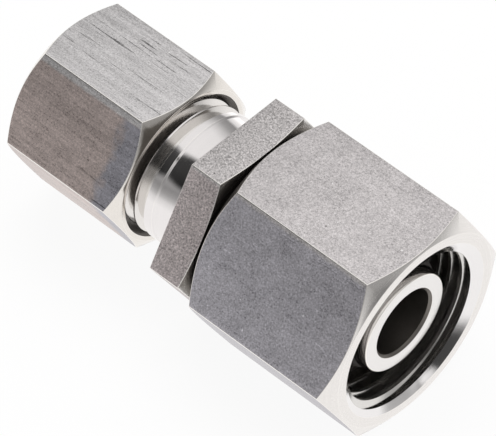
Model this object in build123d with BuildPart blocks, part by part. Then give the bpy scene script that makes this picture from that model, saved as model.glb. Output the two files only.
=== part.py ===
from build123d import *
from math import radians, sqrt, tan
import os

# Reducing fitting for hydraulic tube, 24 degree cone, heavy series, 12 mm to 8 mm.
# The right end is a sealing cone with an O-ring and a swivel nut that a wire ring holds.
# The left end is a threaded stud with a tube socket, a cutting ring and a union nut.
# The axis runs along X, towards the swivel nut. The origin is on the axis at the tube stop,
# where the end of an 8 mm tube rests. Z is up, and the swivel nut lies on a flat. Sizes in mm.

# Cone angle that both ends share
cone_slope = tan(radians(24.0 / 2))

# Tube socket and threaded stud, for 8 mm tube
tube_diameter = 8.0
tube_clearance = 0.05
small_bore_diameter = 5.0
socket_depth = 7.0
socket_cone_rise = 1.0
stud_thread_diameter = 15.9
stud_thread_length = 7.6
stud_end_chamfer = 1.0
neck_length = 4.4
neck_undercut = 0.15
neck_fillet = 0.4

# Hexagon of the body
body_hex_width = 22.0
body_hex_length = 4.5
body_hex_chamfer_angle = 15.0
body_hex_turn = 1.1

# Sealing cone for a 12 mm end
nose_diameter = 11.88
nose_edge = 0.15
cone_length = 6.4
cone_collar_length = 0.85
spigot_length = 19.65
shank_diameter = 13.8
large_bore_diameter = 8.0
large_bore_chamfer = 0.3
large_bore_start = 4.0
drill_point_slope = tan(radians(118.0 / 2))

# O-ring and its groove in the cone
oring_section = 1.5
oring_setback = 2.3
oring_groove_play = 0.4
oring_groove_diameter = 10.24
oring_seat_gap = 0.03

# Wire ring that carries the pull of the swivel nut
wire_diameter = 2.0
wire_stand_out = 0.1
wire_ring_split = 1.2
wire_gap = 0.05
wire_pocket_gap = 0.2

# Swivel nut
swivel_hex_width = 24.0
swivel_face_inset = 0.22
swivel_front_chamfer_angle = 28.0
swivel_rear_chamfer_angle = 35.0
swivel_hex_gap = 0.75
swivel_nose_recess = 1.5
swivel_thread_bore = 18.38
swivel_mouth_rise = 1.37
swivel_mouth_depth = 0.65
swivel_relief_depth = 0.96
swivel_relief_width = 1.6
swivel_pocket_length = 0.75
swivel_collar_gap = 0.15
swivel_rear_chamfer = 0.75

# Cutting ring
ring_length = 9.8
ring_insertion = 1.8
ring_cone_length = 3.0
ring_collar_rise = 0.665
ring_collar_setback = 3.0
ring_rear_wall = 0.45
ring_groove_depth = 0.3
ring_groove_starts = (1.0, 2.9)
ring_groove_width = 1.2
cone_clearance = 0.07

# Union nut
union_hex_width = 19.0
union_face_inset = 0.2
union_chamfer_angle = 35.0
union_nut_length = 16.5
union_nut_turn = -2.3
union_hole_clearance = 0.1
union_hole_length = 3.3
union_hole_chamfer = 0.5
union_cone_clearance = 0.5
union_land_length = 0.9
union_thread_clearance = 0.08
union_mouth_chamfer = 0.77

# Space kept beyond the corners of a hexagon by the outline that chamfers them
corner_margin = 1.0

# Sizes that seat on each other
cone_base_diameter = nose_diameter + 2 * cone_length * cone_slope
wire_ring_diameter = cone_base_diameter + 2 * wire_stand_out
oring_groove_width = oring_section + oring_groove_play
socket_mouth_diameter = tube_diameter + 2 * (tube_clearance + socket_cone_rise)

# Stations along the axis
stud_end = -socket_depth
thread_end = stud_end + stud_thread_length
hex_left = thread_end + neck_length
hex_right = hex_left + body_hex_length
nose = hex_right + spigot_length
cone_base = nose - cone_length
collar_rear = cone_base - cone_collar_length
wire_centre = collar_rear - wire_gap - wire_diameter / 2
ring_front = stud_end + ring_insertion
ring_rear = ring_front - ring_length


def turned(points):
    """Face with a closed outline of (x, radius) points, to be revolved about the axis."""
    with BuildSketch(Plane.XZ) as section:
        with BuildLine():
            Polyline(*points, close=True)
        make_face()
    return section.sketch


def hexagon(width, start, turn=0.0):
    """Hexagon across the axis at a station, with a flat at the bottom before it is turned."""
    with BuildSketch(Plane.YZ.offset(start)) as section:
        RegularPolygon(width / 2, 6, major_radius=False, rotation=turn)
    return section.sketch


def chamfer_envelope(width, start, end, face_diameter, left_angle, right_angle):
    """Outline whose cones cut the corners of a hexagonal bar; an angle of 0 leaves them square."""
    reach = width / sqrt(3) + corner_margin
    overhang = reach - face_diameter / 2
    left = (start, face_diameter / 2) if left_angle else (start, reach)
    right = (end, face_diameter / 2) if right_angle else (end, reach)
    outline = [(start, 0), left]
    if left_angle:
        outline.append((start + overhang * tan(radians(left_angle)), reach))
    if right_angle:
        outline.append((end - overhang * tan(radians(right_angle)), reach))
    return turned(outline + [right, (end, 0)])


# Fitting body: one turned piece with the stud, the hexagon and the sealing cone
with BuildPart() as fitting_body:
    extrude(hexagon(body_hex_width, hex_left, body_hex_turn), amount=body_hex_length)
    body_envelope = chamfer_envelope(
        body_hex_width, hex_left, hex_right, body_hex_width, 0, body_hex_chamfer_angle
    )
    revolve(body_envelope, axis=Axis.X, mode=Mode.INTERSECT)
    thread_radius = stud_thread_diameter / 2
    neck_radius = thread_radius - neck_undercut
    revolve(turned([
        (stud_end, 0),
        (stud_end, thread_radius - stud_end_chamfer),
        (stud_end + stud_end_chamfer, thread_radius),
        (thread_end, thread_radius),
        (thread_end + thread_radius - neck_radius, neck_radius),
        (hex_left, neck_radius),
        (hex_left, 0),
    ]), axis=Axis.X)
    neck_joint = fitting_body.edges().filter_by(GeomType.CIRCLE).filter_by(
        lambda edge: abs(edge.radius - neck_radius) < 0.001
        and abs(edge.center().X - hex_left) < 0.001
    )
    fillet(neck_joint, neck_fillet)
    nose_radius = nose_diameter / 2
    groove_radius = oring_groove_diameter / 2
    groove_front = nose - oring_setback + oring_groove_width / 2
    groove_rear = groove_front - oring_groove_width
    wire_groove_radius = wire_ring_diameter / 2 - wire_diameter / 2 - wire_gap
    wire_groove_rear = wire_centre - wire_diameter / 2 - wire_gap
    revolve(turned([
        (hex_right, 0),
        (hex_right, shank_diameter / 2),
        (wire_groove_rear, shank_diameter / 2),
        (wire_groove_rear, wire_groove_radius),
        (collar_rear, wire_groove_radius),
        (collar_rear, cone_base_diameter / 2),
        (cone_base, cone_base_diameter / 2),
        (groove_rear, nose_radius + (nose - groove_rear) * cone_slope),
        (groove_rear, groove_radius),
        (groove_front, groove_radius),
        (groove_front, nose_radius + (nose - groove_front) * cone_slope),
        (nose - nose_edge, nose_radius + nose_edge * cone_slope),
        (nose, nose_radius - nose_edge),
        (nose, 0),
    ]), axis=Axis.X)
    mouth_radius = socket_mouth_diameter / 2
    seat_radius = tube_diameter / 2 + tube_clearance
    small_radius = small_bore_diameter / 2
    large_radius = large_bore_diameter / 2
    revolve(turned([
        (stud_end, 0),
        (stud_end, mouth_radius),
        (stud_end + (mouth_radius - seat_radius) / cone_slope, seat_radius),
        (0, seat_radius),
        (0, small_radius),
        (large_bore_start - (large_radius - small_radius) / drill_point_slope, small_radius),
        (large_bore_start, large_radius),
        (nose - large_bore_chamfer, large_radius),
        (nose, large_radius + large_bore_chamfer),
        (nose, 0),
    ]), axis=Axis.X, mode=Mode.SUBTRACT)

# O-ring: moulded rubber, lying in the groove of the cone
with BuildPart() as o_ring:
    oring_radius = (oring_groove_diameter + oring_section) / 2 + oring_seat_gap
    with BuildSketch(Plane.XZ):
        with Locations((nose - oring_setback, oring_radius)):
            Circle(oring_section / 2)
    revolve(axis=Axis.X)

# Wire ring: a split ring of round spring wire behind the collar of the cone
with BuildPart() as wire_ring:
    with BuildSketch(Plane.XZ):
        with Locations((wire_centre, wire_ring_diameter / 2)):
            Circle(wire_diameter / 2)
    revolve(axis=Axis.X)
    with BuildSketch(Plane.YZ.offset(wire_centre)):
        with Locations((0, wire_ring_diameter / 2)):
            Rectangle(wire_ring_split, wire_diameter * 2)
    extrude(amount=wire_diameter, both=True, mode=Mode.SUBTRACT)

# Swivel nut: turned from hexagon bar, it pulls on the wire ring through a 45 degree shoulder
with BuildPart() as swivel_nut:
    swivel_front = nose + swivel_nose_recess
    swivel_rear = hex_right + swivel_hex_gap
    rear_radius = max(cone_base_diameter, shank_diameter) / 2 + swivel_collar_gap
    pocket_radius = (wire_ring_diameter + wire_diameter) / 2 + wire_pocket_gap
    wire_reach = (wire_diameter / 2 + wire_gap) * sqrt(2)
    shoulder_rear = wire_centre - wire_reach + rear_radius - wire_ring_diameter / 2
    shoulder_front = shoulder_rear + pocket_radius - rear_radius
    relief_rear = shoulder_front + swivel_pocket_length
    relief_front = relief_rear + swivel_relief_width
    thread_bore_radius = swivel_thread_bore / 2
    relief_radius = thread_bore_radius + swivel_relief_depth
    extrude(hexagon(swivel_hex_width, swivel_rear), amount=swivel_front - swivel_rear)
    swivel_envelope = chamfer_envelope(
        swivel_hex_width, swivel_rear, swivel_front, swivel_hex_width - 2 * swivel_face_inset,
        swivel_rear_chamfer_angle, swivel_front_chamfer_angle,
    )
    revolve(swivel_envelope, axis=Axis.X, mode=Mode.INTERSECT)
    revolve(turned([
        (swivel_rear, 0),
        (swivel_rear, rear_radius + swivel_rear_chamfer),
        (swivel_rear + swivel_rear_chamfer, rear_radius),
        (shoulder_rear, rear_radius),
        (shoulder_front, pocket_radius),
        (relief_rear, pocket_radius),
        (relief_rear, relief_radius),
        (relief_front, relief_radius),
        (relief_front + relief_radius - thread_bore_radius, thread_bore_radius),
        (swivel_front - swivel_mouth_depth, thread_bore_radius),
        (swivel_front, thread_bore_radius + swivel_mouth_rise),
        (swivel_front, 0),
    ]), axis=Axis.X, mode=Mode.SUBTRACT)

# Cutting ring: two inner edges that bite the tube, a cone in front and a 45 degree tail
with BuildPart() as cutting_ring:
    ring_cone_radius = mouth_radius - (ring_front - stud_end) * cone_slope
    ring_front_radius = ring_cone_radius - cone_clearance
    ring_body_radius = ring_front_radius + ring_cone_length * cone_slope
    ring_collar_radius = ring_body_radius + ring_collar_rise
    ring_rear_radius = seat_radius + ring_rear_wall
    ring_tail = ring_rear + ring_collar_radius - ring_rear_radius
    ring_collar_front = ring_rear + ring_collar_setback
    revolve(turned([
        (ring_front, seat_radius),
        (ring_front, ring_front_radius),
        (ring_front - ring_cone_length, ring_body_radius),
        (ring_collar_front + ring_collar_radius - ring_body_radius, ring_body_radius),
        (ring_collar_front, ring_collar_radius),
        (ring_tail, ring_collar_radius),
        (ring_rear, ring_rear_radius),
        (ring_rear, seat_radius),
    ]), axis=Axis.X)
    for groove_start in ring_groove_starts:
        groove_x = ring_front - groove_start
        revolve(turned([
            (groove_x, seat_radius),
            (groove_x - ring_groove_depth, seat_radius + ring_groove_depth),
            (groove_x - ring_groove_width, seat_radius + ring_groove_depth),
            (groove_x - ring_groove_width, seat_radius - tube_clearance),
            (groove_x, seat_radius - tube_clearance),
        ]), axis=Axis.X, mode=Mode.SUBTRACT)

# Union nut: its 45 degree cone presses the tail of the cutting ring
with BuildPart() as union_nut:
    hole_radius = tube_diameter / 2 + union_hole_clearance
    union_cone_radius = ring_collar_radius + union_cone_clearance
    tail_shift = ring_rear_radius + cone_clearance * sqrt(2)
    hole_front = ring_rear + hole_radius - tail_shift
    cone_front = ring_rear + union_cone_radius - tail_shift
    union_rear = hole_front - union_hole_length
    union_front = union_rear + union_nut_length
    union_bore_radius = stud_thread_diameter / 2 + union_thread_clearance
    union_mouth_radius = union_bore_radius + union_mouth_chamfer
    extrude(hexagon(union_hex_width, union_rear, union_nut_turn), amount=union_nut_length)
    union_envelope = chamfer_envelope(
        union_hex_width, union_rear, union_front, union_hex_width - 2 * union_face_inset,
        union_chamfer_angle, union_chamfer_angle,
    )
    revolve(union_envelope, axis=Axis.X, mode=Mode.INTERSECT)
    revolve(turned([
        (union_rear, 0),
        (union_rear, hole_radius + union_hole_chamfer),
        (union_rear + union_hole_chamfer, hole_radius),
        (hole_front, hole_radius),
        (cone_front, union_cone_radius),
        (cone_front + union_land_length, union_cone_radius),
        (cone_front + union_land_length, union_bore_radius),
        (union_front - union_mouth_chamfer, union_bore_radius),
        (union_front, union_mouth_radius),
        (union_front, 0),
    ]), axis=Axis.X, mode=Mode.SUBTRACT)

fitting_body.part.label = "fitting_body"
o_ring.part.label = "o_ring"
wire_ring.part.label = "wire_ring"
swivel_nut.part.label = "swivel_nut"
cutting_ring.part.label = "cutting_ring"
union_nut.part.label = "union_nut"

os.makedirs("parts", exist_ok=True)
export_step(fitting_body.part, "parts/fitting_body.step")
export_step(o_ring.part, "parts/o_ring.step")
export_step(wire_ring.part, "parts/wire_ring.step")
export_step(swivel_nut.part, "parts/swivel_nut.step")
export_step(cutting_ring.part, "parts/cutting_ring.step")
export_step(union_nut.part, "parts/union_nut.step")
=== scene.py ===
from math import acos, atan2, cos, hypot, pi, radians, sin, sqrt, tan

import bmesh
import bpy
import numpy as np
from mathutils import Matrix, Vector


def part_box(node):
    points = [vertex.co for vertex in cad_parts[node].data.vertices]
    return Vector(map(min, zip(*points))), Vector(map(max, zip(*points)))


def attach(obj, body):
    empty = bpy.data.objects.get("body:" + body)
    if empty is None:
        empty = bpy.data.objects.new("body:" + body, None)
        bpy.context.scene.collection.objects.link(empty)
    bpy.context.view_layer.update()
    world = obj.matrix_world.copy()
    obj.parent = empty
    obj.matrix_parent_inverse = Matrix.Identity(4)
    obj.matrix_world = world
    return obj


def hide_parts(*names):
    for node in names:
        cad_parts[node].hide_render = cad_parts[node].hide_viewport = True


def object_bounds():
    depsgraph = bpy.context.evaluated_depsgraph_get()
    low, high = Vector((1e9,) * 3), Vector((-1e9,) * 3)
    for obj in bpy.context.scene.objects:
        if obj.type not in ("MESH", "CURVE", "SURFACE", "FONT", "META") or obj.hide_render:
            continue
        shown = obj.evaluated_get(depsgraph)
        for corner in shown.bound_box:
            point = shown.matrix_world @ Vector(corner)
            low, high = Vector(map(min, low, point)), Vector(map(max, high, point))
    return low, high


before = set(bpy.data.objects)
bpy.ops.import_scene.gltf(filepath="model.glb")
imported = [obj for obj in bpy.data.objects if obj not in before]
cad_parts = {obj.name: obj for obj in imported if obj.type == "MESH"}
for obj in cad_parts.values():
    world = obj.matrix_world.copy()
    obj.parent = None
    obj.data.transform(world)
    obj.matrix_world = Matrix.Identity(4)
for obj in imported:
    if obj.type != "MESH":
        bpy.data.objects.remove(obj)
cad_low, cad_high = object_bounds()

# Fitting body
# One piece of stainless steel, turned from hexagon bar: a stud with a cut thread and a smooth
# neck, a thin hexagon, and behind the swivel nut a shank that ends in the sealing cone.
mm = 0.001


class Signal:
    """An output socket of a node tree. Arithmetic on it adds Math nodes to the tree."""

    def __init__(self, graph, socket):
        self.graph = graph
        self.socket = socket

    def combined(self, operation, first, second):
        return self.graph.node("ShaderNodeMath", {"operation": operation}, {0: first, 1: second})

    def __add__(self, other):
        return self.combined("ADD", self, other)

    def __sub__(self, other):
        return self.combined("SUBTRACT", self, other)

    def __rsub__(self, other):
        return self.combined("SUBTRACT", other, self)

    def __mul__(self, other):
        return self.combined("MULTIPLY", self, other)

    def __truediv__(self, other):
        return self.combined("DIVIDE", self, other)

    def __pow__(self, other):
        return self.combined("POWER", self, other)

    __radd__ = __add__
    __rmul__ = __mul__

    def above(self, edge, width):
        """0 below the edge and 1 above it, with a soft step of the given width."""
        return self.graph.node("ShaderNodeMapRange", {"interpolation_type": "SMOOTHSTEP"}, {
            0: self, 1: edge - width / 2, 2: edge + width / 2,
        })

    def between(self, low, high, width):
        """1 from low to high and 0 outside, with soft steps of the given width."""
        return self.above(low, width) - self.above(high, width)


class Graph:
    """A node tree that is being built. Its node method makes every node: it takes the type, the
    settings, and the values or links of the sockets, and gives one output."""

    def __init__(self, tree):
        self.tree = tree
        tree.nodes.clear()

    def node(self, kind, settings=None, inputs=None, output=0):
        made = self.tree.nodes.new(kind)
        for name, value in (settings or {}).items():
            if name == "stops":
                fill_ramp(made.color_ramp, value)
            else:
                setattr(made, name, value)
        for key, value in (inputs or {}).items():
            target = made.inputs[key]
            if isinstance(value, Signal):
                self.tree.links.new(value.socket, target)
            else:
                target.default_value = value
        if not made.outputs:
            return made
        return Signal(self, made.outputs[output])


def fill_ramp(ramp, stops):
    """Sets a colour ramp's stops, each a position and a grey level."""
    while len(ramp.elements) < len(stops):
        ramp.elements.new(1.0)
    for element, (position, grey) in zip(ramp.elements, stops):
        element.position = position
        element.color = (grey, grey, grey, 1)


arc_steps = 3
# Finish slots, in the order of each piece's materials. The last slot is a near-black steel painted as
# shade, for faces in gaps, recesses and bores.
drawn_flats, turned_face, fine_turned, worn_and_highlit_edge, painted_shade_face = range(5)


def rounded(corners):
    """Closed outline of (x, radius) points, with each corner replaced by a short arc. A corner has
    its x, its radius and its rounding, then the finishes of the stretch after it and of its edge."""
    shortest_side, least_bend, side_share = 1e-6, 0.01, 0.45
    outline = []
    count = len(corners)
    for index, (x, r, rounding, *finishes) in enumerate(corners):
        here = np.array((x, r))
        back = np.array(corners[index - 1][:2]) - here
        ahead = np.array(corners[(index + 1) % count][:2]) - here
        back_length, ahead_length = np.linalg.norm(back), np.linalg.norm(ahead)
        if back_length < shortest_side or ahead_length < shortest_side:
            outline += [here] * (arc_steps + 1)
            continue
        back, ahead = back / back_length, ahead / ahead_length
        bend = pi - acos(max(-1.0, min(1.0, float(back @ ahead))))
        if bend < least_bend or bend > pi - least_bend:
            outline += [here] * (arc_steps + 1)
            continue
        most = side_share * min(back_length, ahead_length)
        reach = min(rounding * tan(bend / 2), most)
        radius = reach / tan(bend / 2)
        inward = (back + ahead) / np.linalg.norm(back + ahead)
        centre = here + inward * hypot(reach, radius)
        start, end = here + back * reach - centre, here + ahead * reach - centre
        turn = atan2(start[0] * end[1] - start[1] * end[0], float(start @ end))
        for step in range(arc_steps + 1):
            angle = turn * step / arc_steps
            spin = np.array(((cos(angle), -sin(angle)), (sin(angle), cos(angle))))
            outline.append(centre + spin @ start)
    return outline


def corner_arc(width, corner_rounding):
    """Where the arc at a hexagon's corner has its centre, and the angle from the corner at which
    it meets the flat."""
    centre_distance = (width / 2 - corner_rounding) / cos(pi / 6)
    tangent = atan2(
        corner_rounding * sin(pi / 6), centre_distance + corner_rounding * cos(pi / 6)
    )
    return centre_distance, tangent


def hexagon_angles(width, corner_rounding):
    """Angles about the axis for a whole hexagon, close together at its corners."""
    tangent = corner_arc(width, corner_rounding)[1]
    flat_steps = 32
    near = [0.0, tangent / 2, tangent]
    middle = [tangent + (pi / 3 - 2 * tangent) * step / flat_steps for step in range(1, flat_steps)]
    sixth = near + middle + [pi / 3 - tangent, pi / 3 - tangent / 2]
    return [corner * pi / 3 + angle for corner in range(6) for angle in sixth]


def hexagon_radius(angle, width, corner_rounding):
    """Radius of a hexagon with rounded corners, at an angle measured from a corner."""
    from_corner = angle % (pi / 3)
    from_corner = min(from_corner, pi / 3 - from_corner)
    centre_distance, tangent = corner_arc(width, corner_rounding)
    if from_corner >= tangent:
        return width / 2 / cos(pi / 6 - from_corner)
    across = centre_distance * sin(from_corner)
    return centre_distance * cos(from_corner) + sqrt(corner_rounding ** 2 - across ** 2)


def turned_mesh(name, corners_at, width, corner_rounding):
    """Closed mesh of a piece turned from hexagon bar, about the axis. corners_at gives the corners
    of its outline where the hexagon has a given radius. The long corners get the edge finish, a
    bright tone for wear that is also a painted highlight."""
    angles = hexagon_angles(width, corner_rounding)
    finishes = []
    for x, radius, rounding, stretch_finish, edge_finish in corners_at(width / 2):
        finishes += [edge_finish] * arc_steps + [stretch_finish]
    count = len(finishes)
    points = []
    for angle in angles:
        for x, r in rounded(corners_at(hexagon_radius(angle, width, corner_rounding))):
            points.append((x * mm, r * cos(angle) * mm, r * sin(angle) * mm))
    faces = []
    slots = []
    per_sixth = len(angles) // 6
    for j in range(len(angles)):
        k = (j + 1) % len(angles)
        in_corner = j % per_sixth in (0, 1, per_sixth - 2, per_sixth - 1)
        for i in range(count):
            n = (i + 1) % count
            faces.append((j * count + i, j * count + n, k * count + n, k * count + i))
            on_edge = in_corner and finishes[i] == drawn_flats
            slots.append(worn_and_highlit_edge if on_edge else finishes[i])
    mesh = bpy.data.meshes.new(name)
    mesh.from_pydata(points, [], faces)
    mesh.polygons.foreach_set("material_index", slots)
    return mesh


def cleaned(mesh):
    """Merges doubled points, turns the faces outwards and marks the sharp edges."""
    merge_distance, shortest_edge, sharp_angle = 0.002, 0.0005, 24.0
    work = bmesh.new()
    work.from_mesh(mesh)
    bmesh.ops.remove_doubles(work, verts=work.verts, dist=merge_distance * mm)
    bmesh.ops.dissolve_degenerate(work, edges=work.edges, dist=shortest_edge * mm)
    bmesh.ops.recalc_face_normals(work, faces=work.faces)
    work.to_mesh(mesh)
    work.free()
    mesh.shade_smooth()
    mesh.set_sharp_from_angle(angle=radians(sharp_angle))
    return mesh


def thread_tree():
    """Geometry node tree of a thread cutter: a trapezoid swept along a right-hand helix about X."""
    tree = bpy.data.node_groups.new("thread_cutter", "GeometryNodeTree")
    graph = Graph(tree)
    named = (
        "Start", "Pitch", "Turns", "Outer Radius", "Outer Width", "Inner Radius", "Inner Width",
        "Runout Turns", "Runout Lift",
    )
    for name in named:
        tree.interface.new_socket(name, in_out="INPUT", socket_type="NodeSocketFloat")
    tree.interface.new_socket("Material", in_out="INPUT", socket_type="NodeSocketMaterial")
    tree.interface.new_socket("Mesh", in_out="OUTPUT", socket_type="NodeSocketGeometry")
    given = {
        name: graph.node("NodeGroupInput", output=index)
        for index, name in enumerate(named + ("Material",))
    }
    middle = (given["Outer Radius"] + given["Inner Radius"]) / 2
    helix = graph.node("GeometryNodeCurveSpiral", {}, {
        "Resolution": 144, "Rotations": given["Turns"], "Start Radius": middle,
        "End Radius": middle, "Height": given["Pitch"] * given["Turns"],
    })
    turned = graph.node("GeometryNodeSplineParameter") * given["Turns"]
    lift = graph.node("ShaderNodeMapRange", {"interpolation_type": "SMOOTHSTEP"}, {
        0: turned, 1: given["Turns"] - given["Runout Turns"], 2: given["Turns"],
        3: 0.0, 4: given["Runout Lift"],
    })
    growth = lift / middle + 1.0
    stretch = graph.node("ShaderNodeCombineXYZ", {}, {0: growth, 1: growth, 2: 1.0})
    place = graph.node("ShaderNodeVectorMath", {"operation": "MULTIPLY"}, {
        0: graph.node("GeometryNodeInputPosition"), 1: stretch,
    })
    helix = graph.node("GeometryNodeSetPosition", {}, {"Geometry": helix, "Position": place})
    helix = graph.node("GeometryNodeSetCurveNormal", {"mode": "Z_UP"}, {"Curve": helix})
    section = graph.node("GeometryNodeCurvePrimitiveQuadrilateral", {"mode": "TRAPEZOID"}, {
        "Height": given["Outer Radius"] - given["Inner Radius"],
        "Bottom Width": given["Outer Width"], "Top Width": given["Inner Width"], "Offset": 0.0,
    })
    section = graph.node("GeometryNodeTransform", {}, {
        "Geometry": section, "Rotation": (0, 0, -pi / 2),
    })
    swept = graph.node("GeometryNodeCurveToMesh", {}, {
        "Curve": helix, "Profile Curve": section, "Fill Caps": True,
    })
    along_axis = graph.node("ShaderNodeCombineXYZ", {}, {0: given["Start"]})
    swept = graph.node("GeometryNodeTransform", {}, {
        "Geometry": swept, "Translation": along_axis, "Rotation": (0, pi / 2, 0),
    })
    swept = graph.node("GeometryNodeRealizeInstances", {}, {"Geometry": swept})
    swept = graph.node("GeometryNodeSetMaterial", {}, {
        "Geometry": swept, "Material": given["Material"],
    })
    graph.node("NodeGroupOutput", {}, {"Mesh": swept})
    return tree


def evaluated_mesh(thing):
    """Plain mesh of an object with its modifiers applied. The object is removed."""
    bpy.context.view_layer.update()
    depsgraph = bpy.context.evaluated_depsgraph_get()
    mesh = bpy.data.meshes.new_from_object(thing.evaluated_get(depsgraph), depsgraph=depsgraph)
    bpy.data.objects.remove(thing)
    return mesh


def new_object(name, mesh):
    """Object in the scene with the given mesh."""
    thing = bpy.data.objects.new(name, mesh)
    bpy.context.scene.collection.objects.link(thing)
    return thing


thread_cutter_tree = thread_tree()


def thread_cut(mesh, material, sizes):
    """Cuts a helical groove into a turned mesh. sizes are in millimetres and turns."""
    cutter = new_object("thread_cutter", bpy.data.meshes.new("thread_cutter"))
    sweep = cutter.modifiers.new("sweep", "NODES")
    sweep.node_group = thread_cutter_tree
    for item in thread_cutter_tree.interface.items_tree:
        if item.in_out == "OUTPUT":
            continue
        if item.name == "Material":
            sweep[item.identifier] = material
        elif "Turns" in item.name:
            sweep[item.identifier] = sizes[item.name]
        else:
            sweep[item.identifier] = sizes[item.name] * mm
    cutter = new_object("thread_cutter", evaluated_mesh(cutter))
    blank = new_object("blank", mesh)
    difference = blank.modifiers.new("groove", "BOOLEAN")
    difference.operation = "DIFFERENCE"
    difference.solver = "EXACT"
    difference.material_mode = "TRANSFER"
    difference.object = cutter
    cut = evaluated_mesh(blank)
    bpy.data.objects.remove(cutter)
    return cut


def threaded(name, blank, materials, groove):
    """Object of a turned blank with its thread cut. The last material is the thread's own."""
    for material in materials[:-1]:
        blank.materials.append(material)
    cleaned(blank)
    return new_object(name, cleaned(thread_cut(blank, materials[-1], groove)))


class Steel:
    """Shader of bare stainless steel that is being put together in object coordinates, in mm."""

    def __init__(self, name, tone):
        self.material = bpy.data.materials.new(name)
        self.material.use_nodes = True
        self.graph = Graph(self.material.node_tree)
        place = self.graph.node("ShaderNodeTexCoord", output=3)
        self.place = self.graph.node(
            "ShaderNodeVectorMath", {"operation": "SCALE"}, {0: place, "Scale": 1 / mm}
        )
        self.x, self.y, self.z = (
            self.graph.node("ShaderNodeSeparateXYZ", {}, {0: self.place}, output=axis)
            for axis in range(3)
        )
        self.tone = tone
        self.level = 1.0
        self.gloss = 0.0
        self.height = 0.0

    def noise(self, vector, size, detail=3.0, rough=0.6):
        """Noise about 0, with patches of the given size in the units of the vector."""
        return self.graph.node("ShaderNodeTexNoise", {}, {
            "Vector": vector, "Scale": 1 / size, "Detail": detail, "Roughness": rough,
        }) - 0.5

    def stretched(self, along, across):
        """Place with its axial and its crosswise parts scaled apart, for drawn lines."""
        return self.graph.node("ShaderNodeCombineXYZ", {}, {
            0: self.x * along, 1: self.y * across, 2: self.z * across,
        })

    def around(self):
        """Place as distance along the axis and from it, for the rings that a lathe leaves."""
        radius = (self.y * self.y + self.z * self.z) ** 0.5
        return self.graph.node("ShaderNodeCombineXYZ", {}, {0: self.x, 1: radius, 2: 0.0})

    def marks(self, turn, stretch, spacing, size, share, seed):
        """Sparse strokes or spots of uneven outline: 1 in a mark, 0 elsewhere."""
        wander = self.graph.node("ShaderNodeTexNoise", {}, {
            "Vector": self.place, "Scale": 3.0, "Detail": 2.0,
        }, output=1)
        shifted = self.graph.node("ShaderNodeVectorMath", {"operation": "MULTIPLY_ADD"}, {
            0: wander, 1: (0.35, 0.35, 0.35), 2: self.place,
        })
        turned_place = self.graph.node("ShaderNodeMapping", {}, {
            "Vector": shifted, "Location": (seed, seed * 1.7, seed * 0.3), "Rotation": turn,
            "Scale": stretch,
        })
        cell = {"Vector": turned_place, "Scale": 1 / spacing}
        spot = self.graph.node("ShaderNodeTexVoronoi", {}, cell)
        colour = self.graph.node("ShaderNodeTexVoronoi", {}, cell, output=1)
        chance, spread = (
            self.graph.node("ShaderNodeSeparateColor", {}, {0: colour}, output=channel)
            for channel in (0, 1)
        )
        reach = (0.4 + spread * 0.8) * size
        return (reach - spot).above(0.0, size * 0.7) * chance.above(1 - share, 0.01)

    def tinted(self, tint, mask):
        """Turns the tone towards a tint where the mask is 1."""
        self.tone = self.graph.node("ShaderNodeMix", {"data_type": "VECTOR"}, {
            0: mask, 4: self.tone, 5: tint,
        }, output=1)

    def finished(self, roughness, bump_height):
        """Links the shader and returns its material."""
        graph = self.graph
        colour = graph.node("ShaderNodeVectorMath", {"operation": "SCALE"}, {
            0: self.tone, "Scale": self.level,
        })
        bump = graph.node("ShaderNodeBump", {}, {
            "Strength": 1.0, "Distance": bump_height * mm, "Height": self.height,
        })
        shader = graph.node("ShaderNodeBsdfPrincipled", {}, {
            "Base Color": colour, "Metallic": 1.0, "Roughness": self.gloss + roughness,
            "Normal": bump,
        })
        graph.node("ShaderNodeOutputMaterial", {}, {0: shader})
        return self.material


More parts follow.
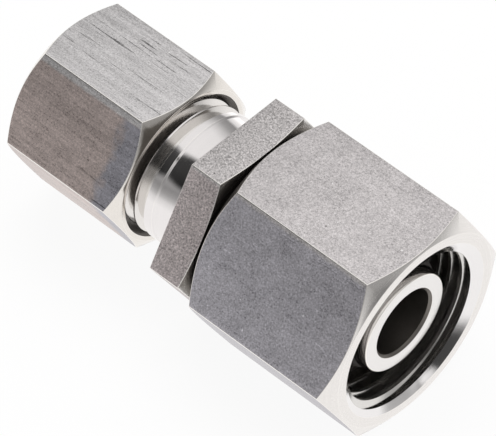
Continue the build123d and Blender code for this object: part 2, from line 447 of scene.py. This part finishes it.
def drawn_steel(name, tone, side_shade_tint, painted_shade_below, roughness, grain, streaks, mottle, scratches,
                pits, end_shade_tint=None, end_shade_from=0.0):
    """Flats of hexagon bar as drawn: grain, lines along the bar, dull patches, scratches, pits.
    The flats below a given height get a darker tint as painted shade, and past a given place the end
    can get a second tint of painted shade.
    Heights, places and the sizes of the noises are in mm."""
    steel = Steel(name, tone)
    ragged = steel.noise(steel.place, 1.5, 3.0)
    # Painted shade: every flat below the top one is tinted darker, as if in shade.
    steel.tinted(side_shade_tint, 1 - (steel.z + ragged * 0.3).above(painted_shade_below, 0.35))
    # Painted shade: a darker, bluer tint on the side flats towards one end.
    if end_shade_tint:
        at_end = (steel.x + ragged * 3.0).above(end_shade_from, 1.6)
        steel.tinted(end_shade_tint, at_end * (1 - steel.z.above(painted_shade_below, 0.3)) * 0.85)
    speckle = steel.noise(steel.place, 0.22, 2.0, 0.7)
    fine_speckle = steel.noise(steel.place, 0.11, 1.0)
    lines = steel.noise(steel.stretched(0.06, 1.0), 0.18, 3.0, 0.7)
    bands = steel.noise(steel.stretched(0.04, 1.0), 0.9, 2.0)
    where = steel.noise(steel.stretched(0.15, 1.0), 3.0, 1.0).above(0.02, 0.2)
    deep_lines = steel.noise(steel.stretched(0.05, 1.0), 0.25, 1.0).above(0.16, 0.06) * where
    cloud = steel.noise(steel.place, 2.6, 4.0)
    light_strokes = steel.marks((0.0, 0.4, 0.5), (0.16, 1.0, 1.0), 0.8, 0.09, scratches, 3.1)
    crossed = steel.marks((0.3, -0.7, -0.9), (0.12, 1.0, 1.0), 1.1, 0.08, scratches, 7.7)
    specks = steel.marks((0.2, 0.1, 0.8), (1.0, 0.6, 0.6), 0.7, 0.10, scratches, 5.9)
    holes = steel.marks((0.2, 0.3, 0.1), (0.8, 1.0, 1.0), 0.9, 0.10, pits, 1.3)
    steel.level = (
        1.0 + grain * (speckle * 2.2 + fine_speckle) + streaks * (lines * 1.6 + bands * 1.2)
        + mottle * cloud * 2.0 - streaks * 1.4 * deep_lines
        + light_strokes * 0.4 + crossed * 0.4 + specks * 0.9 - holes * 0.5
    )
    steel.gloss = speckle * 0.3 + lines * 0.2 + cloud * 0.25 + holes * 0.3
    steel.height = speckle + lines * 0.8 - deep_lines * 1.2 - holes * 3.0 - crossed * 1.0
    return steel.finished(roughness, 0.006)


def turned_steel(name, tone, roughness, rings, mottle):
    """Faces cut on the lathe: fine rings about the axis, and a faint cloudiness."""
    steel = Steel(name, tone)
    fine = steel.noise(steel.around(), 0.10, 3.0, 0.7)
    broad = steel.noise(steel.around(), 0.45, 2.0)
    cloud = steel.noise(steel.place, 1.6, 4.0)
    dust = steel.noise(steel.place, 0.2, 2.0)
    steel.level = 1.0 + rings * (fine * 1.5 + broad) + mottle * (cloud + dust) * 1.5
    steel.gloss = fine * 0.10 + cloud * 0.10
    steel.height = fine + broad + dust * 0.4
    return steel.finished(roughness, 0.002)


body_low, body_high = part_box("fitting_body")
stud_end, nose = body_low.x / mm, body_high.x / mm
thread_end, hexagon_left, hexagon_right = 0.6, 5.0, 9.5
stud_radius, stud_chamfer, neck_radius, neck_fillet = 8.0, 1.0, 7.84, 0.35
body_hexagon_width, body_hexagon_turn, body_chamfer_slope = 22.0, radians(1.1), tan(radians(15))
shank_radius, collar_radius, nose_radius = 6.9, 7.3, 5.94
cone_slope, cone_base, collar_rear = tan(radians(12)), nose - 6.4, nose - 7.25
wire_groove_rear, wire_groove_radius = nose - 9.35, 6.35
seal_groove_rear, seal_groove_front, seal_groove_radius = nose - 3.25, nose - 1.35, 5.12
large_bore, small_bore, tube_seat, socket_mouth = 4.0, 2.5, 4.05, 5.05
large_bore_start, drill_point_slope, bore_chamfer = 4.0, tan(radians(59)), 0.3
drill_point = large_bore_start - (large_bore - small_bore) / drill_point_slope
socket_bottom = stud_end + (socket_mouth - tube_seat) / cone_slope
neck_step_start, neck_step_end, hexagon_face_inset = 0.15, 0.35, 0.02
broken_edge, sharp_edge, nose_edge, body_corner_rounding = 0.10, 0.05, 0.16, 0.12


def body_corners(flat):
    """Corners of the fitting body's outline where its hexagon has the given radius."""
    inscribed = body_hexagon_width / 2
    chamfer = (flat - inscribed) * body_chamfer_slope
    return [
        (stud_end, socket_mouth, broken_edge, turned_face, worn_and_highlit_edge),
        (stud_end, stud_radius - stud_chamfer, broken_edge, turned_face, worn_and_highlit_edge),
        (stud_end + stud_chamfer, stud_radius, sharp_edge, fine_turned, worn_and_highlit_edge),
        (thread_end + neck_step_start, stud_radius, sharp_edge, fine_turned, worn_and_highlit_edge),
        (thread_end + neck_step_end, neck_radius, sharp_edge, fine_turned, fine_turned),
        (hexagon_left, neck_radius, neck_fillet, painted_shade_face, fine_turned),
        (hexagon_left, flat, sharp_edge, drawn_flats, worn_and_highlit_edge),
        (hexagon_right - chamfer, flat, broken_edge, turned_face, worn_and_highlit_edge),
        (hexagon_right, inscribed - hexagon_face_inset, broken_edge, painted_shade_face, worn_and_highlit_edge),
        (hexagon_right, shank_radius, broken_edge, painted_shade_face, painted_shade_face),
        (wire_groove_rear, shank_radius, sharp_edge, painted_shade_face, painted_shade_face),
        (wire_groove_rear, wire_groove_radius, sharp_edge, painted_shade_face, painted_shade_face),
        (collar_rear, wire_groove_radius, sharp_edge, painted_shade_face, painted_shade_face),
        (collar_rear, collar_radius, broken_edge, fine_turned, fine_turned),
        (cone_base, collar_radius, broken_edge, fine_turned, fine_turned),
        (seal_groove_rear, nose_radius + (nose - seal_groove_rear) * cone_slope, sharp_edge,
         fine_turned, worn_and_highlit_edge),
        (seal_groove_rear, seal_groove_radius, broken_edge, fine_turned, fine_turned),
        (seal_groove_front, seal_groove_radius, broken_edge, fine_turned, fine_turned),
        (seal_groove_front, nose_radius + (nose - seal_groove_front) * cone_slope, sharp_edge,
         fine_turned, worn_and_highlit_edge),
        (nose, nose_radius, nose_edge, turned_face, worn_and_highlit_edge),
        (nose, large_bore + bore_chamfer, sharp_edge, painted_shade_face, worn_and_highlit_edge),
        (nose - bore_chamfer, large_bore, sharp_edge, painted_shade_face, painted_shade_face),
        (large_bore_start, large_bore, sharp_edge, painted_shade_face, painted_shade_face),
        (drill_point, small_bore, sharp_edge, painted_shade_face, painted_shade_face),
        (0.0, small_bore, broken_edge, painted_shade_face, painted_shade_face),
        (0.0, tube_seat, sharp_edge, painted_shade_face, painted_shade_face),
        (socket_bottom, tube_seat, sharp_edge, fine_turned, painted_shade_face),
    ]


body_blank = turned_mesh(
    "fitting_body", body_corners, body_hexagon_width, body_corner_rounding
)
body_blank.transform(Matrix.Rotation(body_hexagon_turn, 4, "X"))
body_materials = [
    drawn_steel(
        "body_hexagon_steel", (0.60, 0.58, 0.58), side_shade_tint=(0.55, 0.50, 0.50), painted_shade_below=10.6,
        roughness=0.40, grain=1.0, streaks=0.10, mottle=0.16, scratches=0.02, pits=0.12,
    ),
    turned_steel("body_face_steel", (0.86, 0.85, 0.84), roughness=0.24, rings=0.05, mottle=0.03),
    turned_steel("body_neck_steel", (0.84, 0.82, 0.82), roughness=0.10, rings=0.03, mottle=0.02),
    # Edge steel: a bright tone for wear that also serves as a painted highlight on the edges.
    turned_steel("body_edge_steel", (0.95, 0.93, 0.90), roughness=0.22, rings=0.05, mottle=0.10),
    # Painted shade: a near-black steel for the sides of the hexagon, the shank, the wire groove and
    # the bore.
    turned_steel("body_recess_painted_shade", (0.20, 0.185, 0.17), roughness=0.42, rings=0.15, mottle=0.15),
    turned_steel("body_thread_steel", (0.80, 0.78, 0.76), roughness=0.14, rings=0.06, mottle=0.04),
]
stud_pitch, stud_crest = 1.5, -0.268
stud_groove = {
    "Start": stud_crest - 0.75 * stud_pitch - 5 * stud_pitch, "Pitch": stud_pitch, "Turns": 6.15,
    "Outer Radius": stud_radius + 0.06, "Outer Width": 1.38, "Inner Radius": 7.08,
    "Inner Width": 0.25, "Runout Turns": 0.35, "Runout Lift": 1.1,
}
fitting = threaded("fitting_body_steel", body_blank, body_materials, stud_groove)
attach(fitting, "fitting")
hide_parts("fitting_body")

# O-ring
# Black nitrile rubber, moulded. It lies in the groove of the sealing cone, behind the nose, and is
# dusty and dull where it shows between the nose and the thread of the swivel nut.
rubber = bpy.data.materials.new("seal_rubber")
rubber.use_nodes = True
graph = Graph(rubber.node_tree)
place = graph.node("ShaderNodeTexCoord", output=3)
speckle = graph.node("ShaderNodeTexNoise", {}, {"Vector": place, "Scale": 2500.0, "Detail": 3.0})
dust = graph.node("ShaderNodeTexNoise", {}, {"Vector": place, "Scale": 300.0, "Detail": 2.0})
shade = graph.node("ShaderNodeVectorMath", {"operation": "SCALE"}, {
    0: (0.050, 0.045, 0.042), "Scale": 0.6 + dust * 0.9,
})
skin = graph.node("ShaderNodeBump", {}, {
    "Strength": 0.3, "Distance": 0.02 * mm, "Height": speckle,
})
surface = graph.node("ShaderNodeBsdfPrincipled", {}, {
    "Base Color": shade, "Roughness": 0.55 + speckle * 0.2, "Normal": skin,
})
graph.node("ShaderNodeOutputMaterial", {}, {0: surface})


def dress(node, material):
    """Gives a carried-over node its material."""
    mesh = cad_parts[node].data
    mesh.materials.clear()
    mesh.materials.append(material)


dress("o_ring", rubber)

# Wire ring
# A split ring of hard-drawn stainless spring wire, snapped into the groove behind the collar of
# the cone. It takes the pull of the swivel nut. Its steel has a dark tone, painted shade for its
# place inside the nut.
wire_steel = turned_steel("wire_steel", (0.30, 0.28, 0.27), roughness=0.35, rings=0.1, mottle=0.1)
dress("wire_ring", wire_steel)

# Swivel nut
# Turned from drawn stainless hexagon bar: both ends chamfered on the lathe, the mouth countersunk,
# the thread cut inside. It was put on over the cone before the wire ring went in.
swivel_low, swivel_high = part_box("swivel_nut")
swivel_rear, swivel_front = swivel_low.x / mm, swivel_high.x / mm
swivel_width = (swivel_high.z - swivel_low.z) / mm
swivel_corner_rounding, swivel_edge = 0.14, 0.10
swivel_front_slope, swivel_rear_slope = tan(radians(28)), tan(radians(35))
swivel_face, swivel_mouth, swivel_thread = 11.78, 10.56, 9.19
swivel_relief, swivel_pocket, swivel_hole, swivel_rear_chamfer = 10.15, 8.6, 7.45, 0.75
mouth_depth, pocket_length, relief_length = 0.65, 0.75, 1.6
wire_radius, wire_ring_radius, wire_gap = 1.0, 7.4, 0.05
wire_centre = collar_rear - wire_gap - wire_radius
wire_reach = (wire_radius + wire_gap) * sqrt(2)
shoulder_rear = wire_centre - wire_reach + swivel_hole - wire_ring_radius
shoulder_front = shoulder_rear + swivel_pocket - swivel_hole
relief_start = shoulder_front + pocket_length
relief_end = relief_start + relief_length


def swivel_corners(flat):
    """Corners of the swivel nut's outline where its hexagon has the given radius."""
    rise = flat - swivel_face
    return [
        (swivel_rear, swivel_hole + swivel_rear_chamfer, sharp_edge, painted_shade_face, painted_shade_face),
        (swivel_rear, swivel_face, sharp_edge, painted_shade_face, worn_and_highlit_edge),
        (swivel_rear + rise * swivel_rear_slope, flat, swivel_edge, drawn_flats, worn_and_highlit_edge),
        (swivel_front - rise * swivel_front_slope, flat, swivel_edge, turned_face, worn_and_highlit_edge),
        (swivel_front, swivel_face, sharp_edge, turned_face, worn_and_highlit_edge),
        (swivel_front, swivel_mouth, sharp_edge, fine_turned, worn_and_highlit_edge),
        (swivel_front - mouth_depth, swivel_thread, sharp_edge, worn_and_highlit_edge, worn_and_highlit_edge),
        (relief_end + swivel_relief - swivel_thread, swivel_thread, sharp_edge, painted_shade_face,
         painted_shade_face),
        (relief_end, swivel_relief, sharp_edge, painted_shade_face, painted_shade_face),
        (relief_start, swivel_relief, sharp_edge, painted_shade_face, painted_shade_face),
        (relief_start, swivel_pocket, sharp_edge, painted_shade_face, painted_shade_face),
        (shoulder_front, swivel_pocket, sharp_edge, painted_shade_face, painted_shade_face),
        (shoulder_rear, swivel_hole, broken_edge, painted_shade_face, painted_shade_face),
        (swivel_rear + swivel_rear_chamfer, swivel_hole, broken_edge, painted_shade_face, painted_shade_face),
    ]


swivel_blank = turned_mesh("swivel_nut", swivel_corners, swivel_width, swivel_corner_rounding)
swivel_materials = [
    drawn_steel(
        "swivel_flat_steel", (0.675, 0.65, 0.655), side_shade_tint=(0.50, 0.49, 0.53),
        painted_shade_below=11.65, roughness=0.36, grain=0.7, streaks=0.12, mottle=0.24, scratches=0.20,
        pits=0.14,
    ),
    turned_steel("swivel_face_steel", (0.86, 0.84, 0.82), roughness=0.26, rings=0.05, mottle=0.06),
    turned_steel("swivel_mouth_steel", (0.86, 0.85, 0.85), roughness=0.08, rings=0.03, mottle=0.02),
    # Edge steel: a bright tone for wear that also serves as a painted highlight on the edges.
    turned_steel("swivel_edge_steel", (0.95, 0.93, 0.90), roughness=0.22, rings=0.05, mottle=0.10),
    # Painted shade: a near-black steel for the rear face, the relief, the pocket and the hole.
    turned_steel("swivel_recess_painted_shade", (0.22, 0.205, 0.19), roughness=0.36, rings=0.15, mottle=0.10),
    turned_steel("swivel_thread_steel", (0.72, 0.71, 0.69), roughness=0.14, rings=0.08, mottle=0.04),
]
swivel_pitch, swivel_crest = 1.5, 28.0
swivel_groove = {
    "Start": swivel_crest + 0.25 * swivel_pitch - 4 * swivel_pitch, "Pitch": swivel_pitch,
    "Turns": 6.3, "Outer Radius": 10.03, "Outer Width": 0.19, "Inner Radius": swivel_thread - 0.05,
    "Inner Width": 1.18, "Runout Turns": 0.1, "Runout Lift": 0.0,
}
swivel = threaded("swivel_nut_steel", swivel_blank, swivel_materials, swivel_groove)
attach(swivel, "swivel")
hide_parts("swivel_nut")

# Cutting ring
# Turned stainless ring between the socket and the union nut, with two inner edges that bite the
# tube. It keeps its solid, and shows only through the hole of the nut.
ring_steel = turned_steel("ring_steel", (0.62, 0.61, 0.60), roughness=0.22, rings=0.1, mottle=0.1)
dress("cutting_ring", ring_steel)

# Union nut
# Turned from drawn stainless hexagon bar like the swivel nut, with both ends chamfered. Its thread
# runs on the stud, and its inner cone presses the tail of the cutting ring.
union_low, union_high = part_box("union_nut")
union_rear, union_front = union_low.x / mm, union_high.x / mm
union_width, union_turn = 19.0, radians(-2.3)
union_corner_rounding, union_edge, union_slope = 0.14, 0.10, tan(radians(35))
union_face, union_mouth, union_thread, union_mouth_depth = 9.3, 8.8, 7.19, 1.6
union_cone, union_hole, union_hole_chamfer = 6.4, 4.1, 0.5
union_hole_length, union_land_length = 3.3, 0.9
cone_rear = union_rear + union_hole_length
cone_front = cone_rear + union_cone - union_hole
land_front = cone_front + union_land_length


def union_corners(flat):
    """Corners of the union nut's outline where its hexagon has the given radius."""
    chamfer = (flat - union_face) * union_slope
    return [
        (union_rear, union_hole + union_hole_chamfer, sharp_edge, turned_face, worn_and_highlit_edge),
        (union_rear, union_face, sharp_edge, turned_face, worn_and_highlit_edge),
        (union_rear + chamfer, flat, union_edge, drawn_flats, worn_and_highlit_edge),
        (union_front - chamfer, flat, union_edge, turned_face, worn_and_highlit_edge),
        (union_front, union_face, sharp_edge, turned_face, worn_and_highlit_edge),
        (union_front, union_mouth, sharp_edge, painted_shade_face, worn_and_highlit_edge),
        (union_front - union_mouth_depth, union_thread, sharp_edge, painted_shade_face, painted_shade_face),
        (land_front, union_thread, sharp_edge, painted_shade_face, painted_shade_face),
        (land_front, union_cone, sharp_edge, painted_shade_face, painted_shade_face),
        (cone_front, union_cone, sharp_edge, painted_shade_face, painted_shade_face),
        (cone_rear, union_hole, sharp_edge, fine_turned, painted_shade_face),
        (union_rear + union_hole_chamfer, union_hole, sharp_edge, fine_turned, worn_and_highlit_edge),
    ]


union_blank = turned_mesh("union_nut", union_corners, union_width, union_corner_rounding)
union_blank.transform(Matrix.Rotation(union_turn, 4, "X"))
union_materials = [
    # Painted shade on the union nut: darker brown side flats and a dark blue end towards the fitting
    # body.
    drawn_steel(
        "union_flat_steel", (0.69, 0.68, 0.685), side_shade_tint=(0.60, 0.515, 0.49), painted_shade_below=9.05,
        roughness=0.34, grain=0.5, streaks=0.45, mottle=0.18, scratches=0.03, pits=0.16,
        end_shade_tint=(0.40, 0.41, 0.47), end_shade_from=-5.4,
    ),
    turned_steel("union_face_steel", (0.82, 0.79, 0.75), roughness=0.14, rings=0.05, mottle=0.06),
    turned_steel("union_hole_steel", (0.80, 0.79, 0.78), roughness=0.14, rings=0.05, mottle=0.04),
    # Edge steel: a bright tone for wear that also serves as a painted highlight on the edges.
    turned_steel("union_edge_steel", (0.95, 0.93, 0.90), roughness=0.22, rings=0.05, mottle=0.10),
    # Painted shade: a near-black steel for the mouth and the inside of the nut.
    turned_steel("union_recess_painted_shade", (0.16, 0.15, 0.14), roughness=0.40, rings=0.15, mottle=0.10),
    turned_steel("union_thread_steel", (0.50, 0.49, 0.47), roughness=0.18, rings=0.08, mottle=0.04),
]
union_groove = {
    "Start": stud_crest - 0.25 * stud_pitch - 8 * stud_pitch, "Pitch": stud_pitch, "Turns": 8.0,
    "Outer Radius": stud_radius + 0.08, "Outer Width": 0.25, "Inner Radius": union_thread - 0.05,
    "Inner Width": 1.30, "Runout Turns": 0.1, "Runout Lift": 0.0,
}
union = threaded("union_nut_steel", union_blank, union_materials, union_groove)
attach(union, "union")
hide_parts("union_nut")

# Floor and studio
# A pale table in a light tent. The tent is open high on the front left and has a darker patch low
# on the right, and polished steel mirrors both. One soft lamp gives the table its faint shadow.
table_height, table_radius, table_sides, table_glow = cad_low.z, 0.16, 64, 0.92
table_material = bpy.data.materials.new("pale_table")
table_material.use_nodes = True
graph = Graph(table_material.node_tree)
seen = graph.node("ShaderNodeLightPath", output=0)
glow = graph.node("ShaderNodeEmission", {}, {"Color": (1, 1, 1, 1), "Strength": 1.0})
matt = graph.node("ShaderNodeBsdfDiffuse", {}, {"Color": (0.9, 0.9, 0.9, 1)})
mixed = graph.node("ShaderNodeMixShader", {}, {0: seen * table_glow, 1: matt, 2: glow})
graph.node("ShaderNodeOutputMaterial", {}, {0: mixed})
table_mesh = bpy.data.meshes.new("table")
table_rim = []
for step in range(table_sides):
    angle = step * 2 * pi / table_sides
    table_rim.append((table_radius * cos(angle), table_radius * sin(angle), table_height))
table_mesh.from_pydata(table_rim, [], [list(range(table_sides))])
table_mesh.materials.append(table_material)
table = new_object("table", table_mesh)
table.visible_glossy = False


def heading(azimuth, elevation):
    """Unit vector of a direction that is given in degrees."""
    azimuth, elevation = radians(azimuth), radians(elevation)
    return (cos(azimuth) * cos(elevation), sin(azimuth) * cos(elevation), sin(elevation))


world = bpy.data.worlds.new("light_tent")
bpy.context.scene.world = world
world.use_nodes = True
graph = Graph(world.node_tree)
direction = graph.node("ShaderNodeTexCoord", output=0)
height = graph.node("ShaderNodeSeparateXYZ", {}, {0: direction}, output=2)


def towards(azimuth, elevation, spread, softness):
    """1 within a cone of spread degrees about a direction, 0 outside, with a soft rim."""
    along = graph.node("ShaderNodeVectorMath", {"operation": "DOT_PRODUCT"}, {
        0: direction, 1: heading(azimuth, elevation),
    }, output=1)
    outer, inner = cos(radians(spread + softness)), cos(radians(max(spread - softness, 0)))
    return along.above((outer + inner) / 2, inner - outer)


tent = graph.node("ShaderNodeValToRGB", {"stops": [
    (0.0, 1.0), (0.34, 1.0), (0.43, 0.80), (0.48, 0.54), (0.53, 0.38), (0.60, 0.28), (0.70, 0.38),
    (0.85, 0.88), (1.0, 0.95),
]}, {0: height * 0.5 + 0.5})
tent = graph.node("ShaderNodeSeparateColor", {}, {0: tent})
back_wall = towards(azimuth=117, elevation=0, spread=20, softness=14)
back_wall = back_wall * height.between(-0.30, 0.16, 0.12)
opening = towards(azimuth=-134, elevation=40, spread=22, softness=5)
dark_right = towards(azimuth=12, elevation=-15, spread=12, softness=5)
grey_right = towards(azimuth=37, elevation=-15, spread=9, softness=5)
lit_gap = towards(azimuth=20.5, elevation=-12, spread=3.0, softness=2.0)
back_wall_level, lit_gap_level = 0.5, 0.8
opening_depth, dark_depth, grey_depth = 0.95, 0.93, 0.5
room = tent + back_wall * back_wall_level
room = room * (1 - opening * opening_depth)
room = room * (1 - (dark_right * dark_depth + grey_right * grey_depth))
room = room + lit_gap * lit_gap_level
seen = graph.node("ShaderNodeLightPath", output=0)
inside = graph.node("ShaderNodeBackground", {}, {0: (1.0, 0.985, 0.975, 1), 1: room})
white = graph.node("ShaderNodeBackground", {}, {0: (1, 1, 1, 1), 1: 1.0})
shown = graph.node("ShaderNodeMixShader", {}, {0: seen, 1: inside, 2: white})
graph.node("ShaderNodeOutputWorld", {}, {0: shown})

lamp_place, lamp_aim = Vector((-0.10, 0.12, 0.42)), Vector((0.008, 0.0, 0.0))
lamp = bpy.data.lights.new("soft_lamp", "AREA")
lamp.shape = "RECTANGLE"
lamp.size, lamp.size_y = 0.45, 0.35
lamp.energy = 1.2
soft_lamp = bpy.data.objects.new("soft_lamp", lamp)
bpy.context.scene.collection.objects.link(soft_lamp)
soft_lamp.location = lamp_place
soft_lamp.rotation_euler = (lamp_aim - lamp_place).to_track_quat("-Z", "Y").to_euler()
soft_lamp.visible_glossy = False

# Camera
# The view was found by fitting the edges of the hexagons, the circles of the mouth and the
# crests of the threads in the photograph.
camera_place = Vector((0.22364, -0.24351, 0.36246))
camera_aim = Vector((0.007706, -0.000637, 0.0))
camera_roll = radians(1.95)
focal_length, sensor_width = 337.4, 36.0
camera_data = bpy.data.cameras.new("camera")
camera_data.sensor_fit = "HORIZONTAL"
camera_data.sensor_width = sensor_width
camera_data.lens = focal_length
camera_data.clip_start = 0.01
camera_data.clip_end = 10.0
camera = bpy.data.objects.new("camera", camera_data)
bpy.context.scene.collection.objects.link(camera)
camera.location = camera_place
aimed = (camera_aim - camera_place).to_track_quat("-Z", "Y").to_matrix()
camera.rotation_euler = (aimed @ Matrix.Rotation(camera_roll, 3, "Z")).to_euler()
bpy.context.scene.camera = camera
bpy.context.scene.view_settings.view_transform = "Standard"
